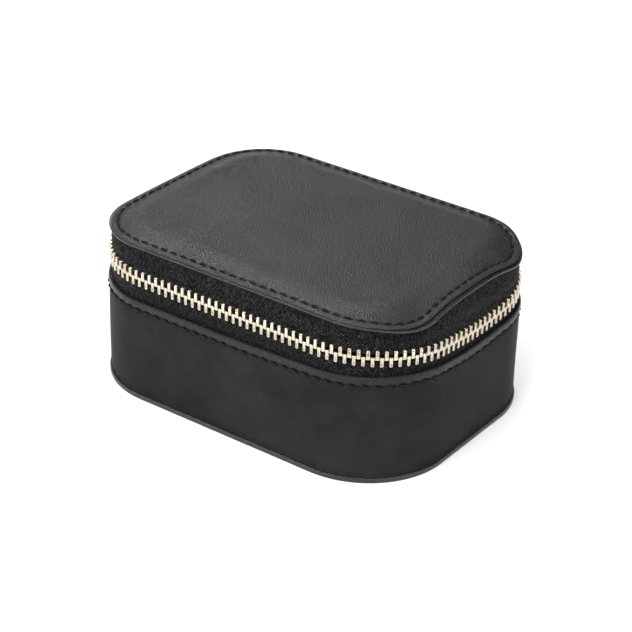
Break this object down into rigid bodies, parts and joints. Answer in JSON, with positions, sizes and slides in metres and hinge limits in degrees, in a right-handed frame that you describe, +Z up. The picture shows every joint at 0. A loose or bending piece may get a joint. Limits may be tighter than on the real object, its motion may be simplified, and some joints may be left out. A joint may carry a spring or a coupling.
{
  "type": "jewellery case",
  "caption": "Low rounded leather jewellery case with a padded hinged lid, metal zip round its sides, and a lined tray with ring rolls and compartments.",
  "frame": {"origin": "middle of the bottom panel's underside, on the ground", "axes": "+Z up, +X along the long side, +Y to the hinge side at the back; the zip slider parks on the -X side"},
  "size_m": [0.1158, 0.0812, 0.05],
  "materials": {
    "leather_base": "fine-grained black leather, satin",
    "leather_lid": "pebbled black leather, satin",
    "leather_edge": "dark cut and painted leather edge",
    "board": "plain greyboard",
    "velvet": "short-pile velvet",
    "foam": "soft open-cell padding",
    "thread": "waxed sewing thread",
    "zip_tape": "herringbone woven tape",
    "zip_metal": "polished pale gold",
    "mirror": "silvered glass"
  },
  "bodies": {
    "base": {"bottom_panel": "leather_base", "floor_board": "board", "wall_board": "board", "wall_leather": "leather_base", "wall_stitching": "thread", "lining_wall": "velvet", "lining_floor": "velvet", "ring_base": "velvet", "ring_roll_1": "velvet", "ring_roll_2": "velvet", "ring_roll_3": "velvet", "ring_roll_4": "velvet", "ring_roll_5": "velvet", "ring_roll_6": "velvet", "ring_roll_7": "velvet", "divider_long": "velvet", "divider_cross": "velvet", "zip_tape_base": "zip_tape", "zip_teeth_base": "zip_metal", "zip_run_base": "zip_metal", "zip_bottom_stop": "zip_metal", "zip_top_stop_base": "zip_metal", "hinge_leather": "leather_base", "hinge_lining": "velvet"},
    "lid": {"lid_leather": "leather_lid", "lid_foam": "foam", "lid_under": "leather_edge", "lid_board": "board", "lid_wall_board": "board", "lid_stitching": "thread", "lid_lining": "velvet", "lid_lining_wall": "velvet", "mirror": "mirror", "mirror_frame": "leather_edge", "zip_tape_lid": "zip_tape", "zip_teeth_lid": "zip_metal", "zip_run_lid": "zip_metal", "zip_top_stop_lid": "zip_metal"},
    "slider": {"slider_body": "zip_metal", "slider_bail": "zip_metal"},
    "pull": {"pull_link": "zip_metal", "pull_tab": "zip_metal"}
  },
  "joints": [
    {"name": "lid_hinge", "type": "hinge", "parent": "base", "child": "lid", "pos_m": [0, 0.0402, 0.0381], "axis": [-1, 0, 0], "range_deg": [0, 105], "deforming": ["hinge_leather", "hinge_lining"]},
    {"name": "slider_run", "type": "slide", "parent": "base", "child": "slider", "axis": [0, -1, 0], "range_m": [0, 0.022], "deforming": ["zip_run_base", "zip_run_lid"]},
    {"name": "pull_swing", "type": "hinge", "parent": "slider", "child": "pull", "pos_m": [-0.0585, 0.011, 0.0381], "axis": [0, 1, 0], "range_deg": [-8, 150]}
  ]
}
